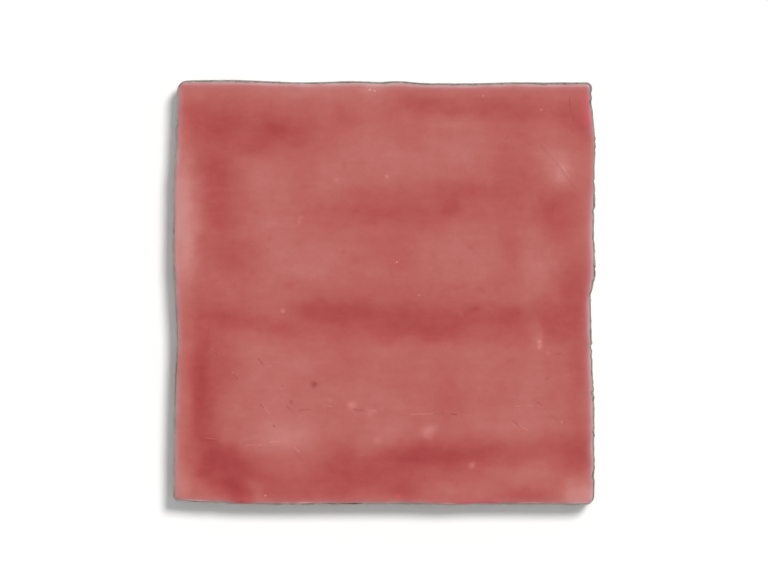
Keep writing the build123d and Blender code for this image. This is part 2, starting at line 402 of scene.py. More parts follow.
# Where the glaze lies deeper, or thinner, than its even coat, in millimetres: x, y, half length, half width,
# then by how many hundredths, and the turn in degrees where there is one. At a depth of 1 it is a dark pool
glazePools = {
    "evenCoat": 0.25,
    # layers of noise that bend their borders: cell size, how far, seed
    "bendX": [(7, 1.3, 41), (2.4, 0.5, 43)],
    "bendY": [(7, 1.3, 42), (2.4, 0.5, 44)],
    "upperLeft": [
        (-52, 54, 8.5, 5.5, 24), (-40, 50, 15, 7.5, 25, -4), (-34, 50, 5, 5, 18),
        (-33.7, 49.9, 2.5, 2.2, 14), (-25.5, 49.5, 5.5, 5, 14), (-41.5, 44, 7, 3.5, 15, 15),
        (-52.5, 44, 6, 8, 25), (-51.5, 36.5, 4.5, 4.5, 22), (-51.5, 26, 4.5, 8, 30),
        (-45.5, 30, 4.5, 8.5, 16), (-51.5, 16, 5, 9.5, 15), (-45.5, 11.5, 8, 6, 20),
        (-12, 52.5, 5, 4.5, 13), (-60.5, 54, 3.5, 12.5, 10), (-22, 47, 9, 5.5, 13), (-53, 0, 5, 4, 10),
    ],
    "upperRight": [
        (13.5, 57.5, 10, 3.5, 30), (33, 56.5, 10.5, 3.5, 30), (46.5, 56.5, 8, 3.5, 20), (58, 55, 6, 5, 28),
        (61.5, 49.5, 3, 5, 20), (2, 26, 22, 6, 27), (19.5, 26, 3.5, 3, 22), (-3, 23.5, 6, 3, 8),
        (24, 31.5, 15, 3.5, 20), (39, 28.5, 18.5, 9.5, 10), (53.5, 24.5, 7, 8.5, 30),
        (59.5, 1.5, 5.5, 7, 30), (39.5, 13, 3.5, 6, 10), (5, 13, 6, 7.5, 10), (38.5, 41, 10.5, 10.5, 10),
        (7, 49.5, 7, 6, 8), (33, 52, 9, 4, 9), (54, 44.5, 5.5, 4.5, 15), (14, 22, 12, 5, 9),
        (37, 14, 9, 4, 8),
    ],
    "middleBand": [
        (-44.5, -8.5, 14, 3.5, 30, -12), (-33, -13, 5, 3.5, 18), (-52, -11.5, 10.5, 5.5, 12),
        (-13, -5.5, 15, 3.5, 42), (-26, -6, 5.5, 3, 12), (-10, -11, 18.5, 4, 25), (12.5, -8.5, 14, 5.5, 40),
        (31, -7, 10.5, 4, 30), (39.5, -7.5, 4.5, 3.5, 22), (29.5, -13, 21.5, 3.5, 20),
        (53, -9, 10.5, 7, 32), (61, -16, 3.5, 15.5, 10), (2, -1, 28, 3.5, 16), (12.7, -14.7, 15.4, 2.2, 12),
        (-29, -12.5, 6, 4, 7),
    ],
    "lowerPools": [
        (-56.5, -25, 3.5, 15, 42), (-52.5, -25, 5, 15, 20), (-47, -24.5, 4.5, 7.5, 10),
        (-55, -37, 4.5, 9.5, 25), (-49, -53.5, 8, 7.5, 60), (-55.5, -48.5, 4.5, 7.5, 28),
        (-45.5, -63, 4.5, 4.5, 38), (-39, -56, 5.5, 5.5, 22), (-27, -60, 15.5, 5.5, 22),
        (-10.5, -55, 10, 7, 42), (4.5, -55.5, 10, 7.5, 34), (6, -61.5, 3.5, 3.5, 16),
        (14, -50, 12.5, 4.5, 46), (28, -50, 11, 4, 26), (45, -48, 18.5, 4, 22), (62, -49.5, 7.5, 6, 34),
        (43.5, -62.5, 8, 2.5, 28), (-9, -62.5, 18.5, 2.5, 8), (59.5, -28.5, 4, 18.5, 14),
        (19, -33, 4.5, 7.5, 15), (-12.5, -24, 4.5, 5.5, 8), (56, 7, 9.5, 12.5, 6), (17.5, -57.5, 6, 3, 12),
        (31, -55.5, 9, 4.5, 13), (56.5, -55, 6, 4, 12), (-50, -61, 4, 3, 20),
    ],
    "thinUpper": [
        (-63.5, 23.5, 6, 18.5, -62), (-63, 5.5, 3, 7, -15), (54, 38, 6, 7, -33), (55, 37, 2.5, 3, -22),
        (51.5, 45.5, 6, 4.5, -10), (47.5, 9.5, 5.5, 9.5, -22), (-41.5, 36, 5.5, 5, -15),
        (-34, 24, 7.5, 18.5, -12), (-22, 9.5, 11.5, 7, -18), (-22, 7.5, 6, 2.5, -6),
        (-4.5, 42.5, 13.5, 9.5, -14), (-16, 34, 7, 5.5, -8), (23.5, 47, 10.5, 9.5, -14),
        (22, 42.5, 4.5, 3, -6), (25, 13, 12.5, 10.5, -14), (14, 39.5, 15.5, 6, -8), (-20, 62, 21.5, 3, -20),
        (-3.7, 62.6, 4.3, 2.2, -25), (-60, 60.5, 4.5, 3, -15), (-60.5, 17, 2.5, 21, -15),
        (-60.5, 34.5, 2, 5, -12), (-51.5, 18, 5, 4.5, -12), (10.5, 32, 5, 4.5, -10),
        (31.5, 35.5, 5, 4.5, -9), (2, 28, 25, 2, -7), (29, 6, 4, 4, -9), (57, 26.5, 5.5, 3, -8),
        (5.5, -1.5, 35, 2.5, -8), (54.5, -1.5, 10, 2.5, -11),
    ],
    "thinLower": [
        (-36, -21, 8.5, 10.5, -14), (-26, -21.5, 4.5, 3.5, -12), (-31, -43, 13, 6, -26),
        (-30.5, -45.5, 8, 3.5, -12), (-26, -31.5, 28, 9.5, -8), (-0.5, -43, 11, 4.5, -14),
        (5, -38, 3, 6, -8), (13.6, -43.1, 2.8, 1.9, -30), (47, -11, 2.2, 3.7, -24),
        (21, -59.2, 4.9, 2.2, -18, -10), (30.9, -61, 4.9, 2.2, -12, -10), (61, -62.5, 5, 4, -62),
        (-62.5, -58.5, 3, 5, -35), (-39, -61.5, 3, 2.5, -25), (30.5, -21.5, 5.5, 9.5, -10),
        (39, -39.5, 15.5, 6, -14), (42, -55.5, 10.5, 3.5, -14), (42, -30, 6, 12.5, -6),
        (-54, -15, 5, 3.5, -9), (49, -15.5, 5, 3.5, -17), (58.5, -13, 5, 3, -8), (-0.5, -19.5, 6, 3.5, -10),
        (-25.5, -22, 3, 3.5, -8), (-55, -30, 3, 4, -12), (-2, -32.5, 7, 5, -11), (-35, -34.5, 6, 3, -11),
        (45.5, -26, 3.5, 9, -9), (-38, -48, 14, 4.5, -13), (1, -49, 7, 4, -12), (-3, -54, 5, 3, -10),
        (24.5, -50, 4, 3, -10), (42, -44.5, 9, 4, -9), (59, -46, 4, 3.5, -12),
    ],
    # small faint dimples and specks
    "flecks": [
        (-12.4, 39.3, 0.7, 1.2, 11), (-18, 32.5, 1.8, 0.7, -9), (-12.6, 12.7, 0.7, 0.8, 15),
        (-19.6, 26.9, 1.2, 0.8, 10), (-15.4, 25.7, 1.3, 0.9, 9), (-8.3, 25.2, 1.3, 0.7, 12),
        (-23.5, 26.8, 0.7, 1, 10), (-8.7, 9.6, 1.1, 0.9, 9), (-10.7, 6.2, 0.9, 0.7, 9),
        (2.3, 5.7, 0.7, 1.1, 10), (-2.6, 20, 0.7, 1.8, 8), (-34.1, 21.3, 1.9, 1, -12),
        (-46.3, 15.3, 1.2, 0.7, 13), (-41.1, 16.2, 1.5, 0.9, 10, 10), (-36.3, 12.9, 1.2, 0.7, 13),
        (-35.3, 16.7, 0.7, 1, 10), (-30.6, 9.8, 1, 0.7, 12), (-39.2, 24.9, 0.8, 0.8, 12),
        (-46, 2.1, 0.7, 1.1, 16), (-29.7, 2.5, 1.7, 0.8, 13), (-26.9, 3.4, 1.2, 0.7, 10),
        (-27.7, 12.9, 1.2, 0.7, -10), (-30.2, 0.2, 2, 0.6, -10), (-37.4, 0.6, 2, 0.7, -8),
        (-40.5, 6.3, 1.2, 1, 8), (27.2, 30.6, 0.8, 0.9, 10), (48.6, 28.6, 1, 0.9, 10),
        (41.8, 18, 0.7, 0.9, -14), (33.7, 20, 1.8, 0.8, -9, 15), (26.6, 14, 0.9, 0.7, 15),
        (42.7, 14.2, 1, 0.8, 13), (23.5, 9.4, 0.7, 0.8, 14), (15.5, 11.2, 1.6, 1, 9, -15),
        (24.8, 1.9, 0.9, 0.8, 12), (30.1, 0.8, 1.7, 0.8, 11, -15), (34.7, 1.2, 1.1, 0.8, 10),
        (22.2, 1.2, 1, 0.7, 10), (14.3, 7.3, 0.8, 0.6, -17), (16, 5.8, 0.7, 1, -12),
        (25.7, -2.5, 2.2, 0.6, -10), (23.7, -6.7, 0.7, 0.8, -22), (32.8, -5, 1.6, 0.6, -15, -20),
        (48.2, 8.3, 1, 1.2, -12), (20.2, -16.4, 0.7, 0.9, -12), (34, -1.7, 1.5, 0.6, -10, 15),
        (27.9, -5.1, 2.3, 0.8, 14, 10), (38.3, -21.3, 1, 0.9, 10), (32.1, 33.4, 0.9, 1.4, -12),
        (48, -13.5, 1.1, 3.2, -14),
    ],
    "edge": 1.4,  # how suddenly a pool ends: 1 as a bell, more as a flat floor with a short slope
}


# Sum of one group of pools at plan (x, y): each depth times exp(-(along² + across²)^edge).
def pooled(group, x, y):
    total = np.zeros(x.shape)
    for centreX, centreY, halfLength, halfWidth, amount, *turn in glazePools[group]:
        angle = np.radians(turn[0] if turn else 0)
        offX = x - centreX
        offY = y - centreY
        along = (offX * np.cos(angle) + offY * np.sin(angle)) / halfLength
        across = (offY * np.cos(angle) - offX * np.sin(angle)) / halfWidth
        total = total + amount / 100 * np.exp(-((along**2 + across**2) ** glazePools["edge"]))
    return total


# Depth of the glaze at plan (x, y): the even coat + the flecks + the pools, whose borders noise bends.
def glazeDepth(x, y):
    depth = glazePools["evenCoat"] + pooled("flecks", x, y)
    plan = pointsAt(x, y)
    bentX = x + layeredNoise(plan, glazePools["bendX"])
    bentY = y + layeredNoise(plan, glazePools["bendY"])
    for group in ("upperLeft", "upperRight", "middleBand", "lowerPools", "thinUpper", "thinLower"):
        depth = depth + pooled(group, bentX, bentY)
    return depth


# Rim of the glaze, where the clay shows through it, and the painted highlights on its lip
glazeRim = {
    # each side's: how far in from the edge it starts, over what width it fades, and how strong it is
    "right": (0.5, 0.85, 1),
    "top": (0.7, 0.75, 0.88),
    "left": (0.5, 0.75, 0.95),
    "bottom": (0.7, 0.5, 0.5),
    "unevenness": [(4, 0.25, 51)],
    # stretches where it is paler or less pale: x and y on the edge, half length, how much
    "stretches": [
        (-30.4, -65, 2, 0.2), (-24.7, -65, 2.5, 0.2), (-43.5, -65, 4, -0.6), (43.3, -65, 3.1, -0.2),
        (60.4, -65, 4.2, 0.5), (-65, 42, 2.5, 0.4), (65, -33, 8, 0.12), (65, 46, 17, -0.42),
        (30, -65, 9.5, -0.7), (65, -60, 3, -0.3),
    ],
    # painted highlights along the very lip, the same way
    "lipInset": 0.75,
    "lipWidth": 0.18,
    "lipHighlights": [
        (-58, -65, 3.5, 0.6), (-30.4, -65, 1.6, 0.25), (-24.6, -65, 2.6, 0.6), (-19.5, -65, 1.2, 0.25),
        (-6, -65, 6, 0.12), (2.5, -65, 3, 0.2), (20, -65, 2, 0.25), (45.5, -65, 4, 0.35),
        (60.5, -65, 2.6, 0.45),
    ],
}


# How far the clay shows through at the rim, from 0 to 1: strength times
# exp(-(distance from the edge - start) / width), made uneven by noise and by its stretches.
def rimShowing(x, y):
    uneven = 1 + layeredNoise(pointsAt(x, y), glazeRim["unevenness"])
    uneven = uneven + alongEdge(glazeRim["stretches"], x, y)
    showing = np.zeros(x.shape)
    for side, outward in (("right", x), ("left", -x), ("top", y), ("bottom", -y)):
        start, width, strength = glazeRim[side]
        inward = np.clip(tileForm["halfSide"] - start - outward, 0, None)
        showing = np.maximum(showing, strength * np.exp(-inward / width))
    return np.clip(showing * uneven, 0, 1)


# Painted highlights on the lip, from 0 to 1: their stretches times
# exp(-((distance from the edge - inset) / width)²).
def paintedLipHighlights(x, y):
    inward = tileForm["halfSide"] - np.maximum(np.abs(x), np.abs(y))
    line = np.exp(-(((inward - glazeRim["lipInset"]) / glazeRim["lipWidth"]) ** 2))
    return np.clip(line * alongEdge(glazeRim["lipHighlights"], x, y), 0, 1)


# Painted shade and painted shadow on the bare clay
paintedClayShade = {
    "shadeFrom": -0.5,  # heights above the belt between which the painted shade sets in
    "shadeTo": 1.5,
    "shadeLeast": 0.05,  # how strong the painted shade is beside the glaze, on the left and bottom sides
    "shadeMost": 0.7,  # and on the top and right sides, which face the lamp
    "shadeTurn": 10,  # how far from the middle the one has passed into the other
    "underLipFrom": 7.7,  # heights between which the painted shadow in the gap under the lip sets in
    "gapTo": 8.6,
    "underLipWaver": [(1.3, 0.8, 31)],
    "bottomFrom": 58,  # how far down the tile the bottom side's painted shadow under the lip sets in
    "bottomTo": 62,
}


# Painted shade on the clay: most beside the glaze and on the top and right sides, which face the lamp,
# fading out round the belt.
def shadeBesideGlaze(x, y, z):
    above = z - tileForm["beltHeight"]
    besideGlaze = easeBetween(paintedClayShade["shadeFrom"], paintedClayShade["shadeTo"], above)
    outward = np.where(np.abs(x) > np.abs(y), x, y)
    topOrRight = easeBetween(-paintedClayShade["shadeTurn"], paintedClayShade["shadeTurn"], outward)
    least = paintedClayShade["shadeLeast"]
    return besideGlaze * (least + (paintedClayShade["shadeMost"] - least) * topOrRight)


# Painted shadow in the gap under the lip: how dark it is by its stretches, from a height that noise shifts
# up and down.
def underLipShade(x, y, z):
    wavered = z + layeredNoise(np.stack([x, y, z], -1), paintedClayShade["underLipWaver"])
    bottom = easeBetween(paintedClayShade["bottomFrom"], paintedClayShade["bottomTo"], -y)
    dark = edgeWearAndShade["bottomUnderLipShade"] * bottom + alongEdge(edgeWearAndShade["underLipShadows"], x, y)
    return easeBetween(paintedClayShade["underLipFrom"], paintedClayShade["gapTo"], wavered) * np.clip(dark, 0, 1)


# Place round a square, from 0 at the bottom left corner anticlockwise to 4, by the larger of |x| and |y|.
def placeRound(x, y):
    reach = np.maximum(np.abs(x), np.abs(y))
    u = x / reach
    v = y / reach
    sides = [v <= -1, u >= 1, v >= 1]
    shares = [(1 + u) / 2, 1 + (1 + v) / 2, 2 + (1 - u) / 2]
    return np.select(sides, shares, 3 + (1 - v) / 2) % 4


# Triangles between an outer and an inner loop of any two counts: going round by place, each next vertex of
# either loop makes one triangle with the last vertex of the other.
def stitchLoops(outer, outerPlace, inner, innerPlace):
    outer = outer[np.argsort(outerPlace)]
    inner = inner[np.argsort(innerPlace)]
    order = np.argsort(np.concatenate([np.sort(outerPlace), np.sort(innerPlace)]), kind="stable")
    isOuter = order < len(outer)
    outerNow = np.cumsum(isOuter) - 1
    innerNow = np.cumsum(~isOuter) - 1
    last = np.where(isOuter, outer[outerNow - 1], inner[innerNow - 1])
    first = np.where(isOuter, last, outer[outerNow])
    second = np.where(isOuter, outer[outerNow], inner[innerNow])
    third = np.where(isOuter, inner[innerNow], last)
    return np.stack([first, second, third], -1)


# Quads of a grid of vertex numbers, with rows going one way and columns the other.
def gridQuads(numbers, wrap=False):
    if wrap:
        numbers = np.concatenate([numbers, numbers[:, :1]], 1)
    corners = [numbers[:-1, :-1], numbers[:-1, 1:], numbers[1:, 1:], numbers[1:, :-1]]
    return np.stack(corners, -1).reshape(-1, 4)


# Values round the rim of a grid (rows are y, columns are x), anticlockwise from the bottom left.
def gridRim(grid):
    return np.concatenate([grid[0, :-1], grid[:-1, -1], grid[-1, :0:-1], grid[:0:-1, 0]])


# Plans of the rings between an outer one and the square inside it, each at a share of the way in:
# outer + share(square - outer).
def ringsToSquare(outer, halfSquare, shares):
    path = edgePath()[0]
    square = path * (halfSquare / np.abs(path).max(1))[:, None]
    return outer + np.array(shares)[:, None, None] * (square - outer)


# Rings of the whole edge, from the face's grid over the shoulder and down the wall to the back's grid, as
# straight plans and heights, and how many of them are glaze.
def allRings():
    plan, normals = edgePath()
    facings = facingSides(normals)
    bite = alongEdge(edgeWearAndShade["bites"], *plan.T)
    lip = lipAngle(plan, facings, bite)
    start, faceRim = shoulderStart(plan, normals)
    insets, heights, glazeRings = edgeRings(plan, start, faceRim, lip, bite)
    ringPlan = plan - insets[..., None] * normals
    carve = tornClay(plan, np.concatenate([ringPlan, heights[..., None]], -1), facings)
    carve[:glazeRings] = 0
    ringPlan = ringPlan - carve[..., None] * normals
    startPlan = plan - start[:, None] * normals
    bandPlan = ringsToSquare(startPlan, meshPlan["faceHalf"], meshPlan["bandShares"])
    borderPlan = ringsToSquare(ringPlan[-1], meshPlan["backHalf"], meshPlan["borderShares"])
    bandHeights = faceHeight(*wanderPlan(bandPlan[..., 0], bandPlan[..., 1]))
    bandHeights[-1] = faceRim
    heights = np.concatenate([bandHeights, heights, np.zeros(borderPlan.shape[:2])])
    return np.concatenate([bandPlan, ringPlan, borderPlan]), heights, len(bandPlan) + glazeRings


# The tile as one closed surface: a grid over the face, the rings round the edge, and a grid over the back,
# all moved by the wander and kept inside the box of the frame.
def buildTile():
    faceHalf = meshPlan["faceHalf"]
    faceLine = np.linspace(-faceHalf, faceHalf, meshPlan["faceCells"] + 1)
    gridX, gridY = np.meshgrid(faceLine, faceLine)
    faceX, faceY = wanderPlan(gridX, gridY)
    rings, ringHeights, glazeRings = allRings()
    ringX, ringY = wanderPlan(rings[..., 0], rings[..., 1])
    ringX = np.clip(ringX, cadLow[0] / millimetre, cadHigh[0] / millimetre)
    ringY = np.clip(ringY, cadLow[1] / millimetre, cadHigh[1] / millimetre)
    backX, backY = backGrid()
    blocks = [
        pointsAt(faceX, faceY, faceHeight(faceX, faceY)),
        pointsAt(ringX, ringY, ringHeights),
        pointsAt(backX, backY, backHeight(backX, backY)),
    ]
    vertices = np.concatenate([block.reshape(-1, 3) for block in blocks])
    firsts = np.cumsum([0] + [block.size // 3 for block in blocks])
    faceNumbers, ringNumbers, backNumbers = [
        first + np.arange(block.size // 3).reshape(block.shape[:2]) for first, block in zip(firsts, blocks)]

    # Polygons, the glazed ones first
    edgePlace = placeRound(*edgePath()[0].T)
    facePlace = placeRound(gridRim(gridX), gridRim(gridY))
    backPlace = placeRound(gridRim(backX), gridRim(backY))
    glazed = [
        gridQuads(faceNumbers), gridQuads(ringNumbers[:glazeRings][::-1], wrap=True),
        stitchLoops(ringNumbers[0], edgePlace, gridRim(faceNumbers), facePlace),
    ]
    bare = [
        gridQuads(ringNumbers[glazeRings - 1:][::-1], wrap=True), gridQuads(backNumbers)[:, ::-1],
        stitchLoops(ringNumbers[-1], edgePlace, gridRim(backNumbers), backPlace)[:, ::-1],
    ]
    polygons = []
    for part in glazed + bare:
        polygons += part.tolist()
    isClay = np.arange(len(polygons)) >= sum(len(part) for part in glazed)

    # Rim and the painted highlights on the lip follow the straight plan, and the rest the real one
    x, y, z = vertices.T
    straightX = np.concatenate([gridX.ravel(), rings[..., 0].ravel(), backX.ravel()])
    straightY = np.concatenate([gridY.ravel(), rings[..., 1].ravel(), backY.ravel()])
    paint = {
        "glazeDepth": glazeDepth(x, y), "glazeRim": rimShowing(straightX, straightY),
        # the last three are the painted highlights on the lip, the painted shade beside the glaze and the
        # painted shadow under the lip
        "lipHighlight": paintedLipHighlights(straightX, straightY), "paintedShade": shadeBesideGlaze(x, y, z), "underLipShade": underLipShade(x, y, z),
    }
    mesh = bpy.data.meshes.new("glazedTile")
    mesh.from_pydata((vertices * millimetre).tolist(), [], polygons)
    for name, values in paint.items():
        mesh.attributes.new(name, "FLOAT", "POINT").data.foreach_set("value", values)
    mesh.materials.append(roseGlaze())
    mesh.materials.append(firedClay())
    mesh.polygons.foreach_set("material_index", isClay.astype(np.int32))
    mesh.polygons.foreach_set("use_smooth", np.ones(len(polygons), bool))
    mesh.update()
    mesh.set_sharp_from_angle(angle=np.radians(meshPlan["sharpAngle"]))
    triangles = sum(len(polygon) - 2 for polygon in polygons)
    print("tile built:", len(vertices), "vertices,", triangles, "triangles")
    return addObject("glazedTile", mesh)


def addObject(name, data):
    thing = bpy.data.objects.new(name, data)
    bpy.context.scene.collection.objects.link(thing)
    return thing


# A colour as the screen shows it, in steps from 0 to 255, in linear light, less what gloss adds to it.
def screenColour(red, green, blue, gloss=0.0):
    part = np.array([red, green, blue]) / 255
    linear = np.where(part > 0.04045, ((part + 0.055) / 1.055) ** 2.4, part / 12.92)
    return (*(linear - gloss).tolist(), 1.0)


# A node with its settings, and its inputs linked or set.
def addNode(tree, kind, inputs=None, **settings):
    node = tree.nodes.new(kind)
    for name, value in settings.items():
        setattr(node, name, value)
    for name, value in (inputs or {}).items():
        if isinstance(value, bpy.types.NodeSocket):
            tree.links.new(value, node.inputs[name])
        else:
            node.inputs[name].default_value = value
    return node


def newMaterial(name):
    material = bpy.data.materials.new(name)
    material.use_nodes = True
    material.node_tree.nodes.clear()
    return material, material.node_tree


def maths(tree, operation, first, second=0.0, third=0.0, clamp=False):
    inputs = {0: first, 1: second, 2: third}
    return addNode(tree, "ShaderNodeMath", inputs, operation=operation, use_clamp=clamp).outputs[0]


def vectorMaths(tree, operation, *vectors, output="Vector"):
    inputs = dict(enumerate(vectors))
    return addNode(tree, "ShaderNodeVectorMath", inputs, operation=operation).outputs[output]


# Noise of one cell size in millimetres, from 0 to 1.
def noiseOf(tree, place, cellSize, detail=2.0, roughness=0.5):
    scale = 1 / (cellSize * millimetre)
    inputs = {"Vector": place, "Scale": scale, "Detail": detail, "Roughness": roughness}
    return addNode(tree, "ShaderNodeTexNoise", inputs).outputs


# The same from -strength to strength.
def centredNoise(tree, place, cellSize, strength):
    away = maths(tree, "SUBTRACT", noiseOf(tree, place, cellSize)["Fac"], 0.5)
    return maths(tree, "MULTIPLY", away, 2 * strength)


def mixColours(tree, share, first, second, blend="MIX"):
    inputs = {0: share, 6: first, 7: second}  # 6 and 7 are the colours
    return addNode(tree, "ShaderNodeMix", inputs, data_type="RGBA", blend_type=blend).outputs[2]


# A value spread from one range to another.
def spread(tree, value, low, high, toLow=0.0, toHigh=1.0):
    inputs = {"Value": value, "From Min": low, "From Max": high, "To Min": toLow, "To Max": toHigh}
    return addNode(tree, "ShaderNodeMapRange", inputs).outputs["Result"]


# Colour of a value by stops, each a value and the colour that shows there.
def colourBy(tree, value, stops, gloss=0.0):
    low = stops[0][0]
    high = stops[-1][0]
    ramp = addNode(tree, "ShaderNodeValToRGB", {"Fac": spread(tree, value, low, high)})
    elements = ramp.color_ramp.elements
    while len(elements) < len(stops):
        elements.new(0.5)
    for element, (at, colour) in zip(elements, stops):
        element.position = (at - low) / (high - low)
        element.color = screenColour(*colour, gloss=gloss)
    return ramp.outputs["Color"]


def attributeOf(tree, name):
    return addNode(tree, "ShaderNodeAttribute", attribute_name=name).outputs["Fac"]


# Surface of a material: one principled shader, with its relief in millimetres.
def finishSurface(tree, relief, inputs):
    bump = addNode(tree, "ShaderNodeBump", {"Height": relief, "Distance": millimetre, "Strength": 1.0})
    shader = addNode(tree, "ShaderNodeBsdfPrincipled", {**inputs, "Normal": bump.outputs["Normal"]})
    addNode(tree, "ShaderNodeOutputMaterial", {"Surface": shader.outputs["BSDF"]})


# Node group for a stroke: 1 on the line from its start along a vector, falling to 0 at its half width.
def strokeGroup():
    group = bpy.data.node_groups.new("stroke", "ShaderNodeTree")
    for name in ("Place", "Start", "Along"):
        group.interface.new_socket(name, in_out="INPUT", socket_type="NodeSocketVector")
    for name in ("Half Width", "Strength"):
        group.interface.new_socket(name, in_out="INPUT", socket_type="NodeSocketFloat")
    group.interface.new_socket("Mask", in_out="OUTPUT", socket_type="NodeSocketFloat")
    given = addNode(group, "NodeGroupInput").outputs

    away = vectorMaths(group, "SUBTRACT", given["Place"], given["Start"])
    reach = vectorMaths(group, "DOT_PRODUCT", away, given["Along"], output="Value")
    length = vectorMaths(group, "DOT_PRODUCT", given["Along"], given["Along"], output="Value")
    # a spot has no length, and this much keeps the division sound
    barely = 1e-12
    share = maths(group, "DIVIDE", reach, maths(group, "ADD", length, barely))
    share = maths(group, "MINIMUM", maths(group, "MAXIMUM", share, 0.0), 1.0)
    scaled = {"Vector": given["Along"], "Scale": share}
    nearest = addNode(group, "ShaderNodeVectorMath", scaled, operation="SCALE").outputs["Vector"]
    distance = vectorMaths(group, "DISTANCE", away, nearest, output="Value")
    mask = addNode(group, "ShaderNodeMapRange", {
        "Value": distance, "From Min": 0.0, "From Max": given["Half Width"],
        "To Min": given["Strength"], "To Max": 0.0}, interpolation_type="SMOOTHSTEP").outputs["Result"]
    addNode(group, "NodeGroupOutput", {"Mask": mask})
    return group


# The strongest of many strokes at each place. Each is start x, start y, end x, end y, half width, strength.
def strokes(tree, group, place, marks):
    strongest = None
    for startX, startY, endX, endY, halfWidth, strength in marks:
        mask = addNode(tree, "ShaderNodeGroup", {
            "Place": place, "Start": (startX * millimetre, startY * millimetre, 0),
            "Along": ((endX - startX) * millimetre, (endY - startY) * millimetre, 0),
            "Half Width": halfWidth * millimetre, "Strength": strength}, node_tree=group).outputs["Mask"]
        strongest = mask if strongest is None else maths(tree, "MAXIMUM", strongest, mask)
    return strongest


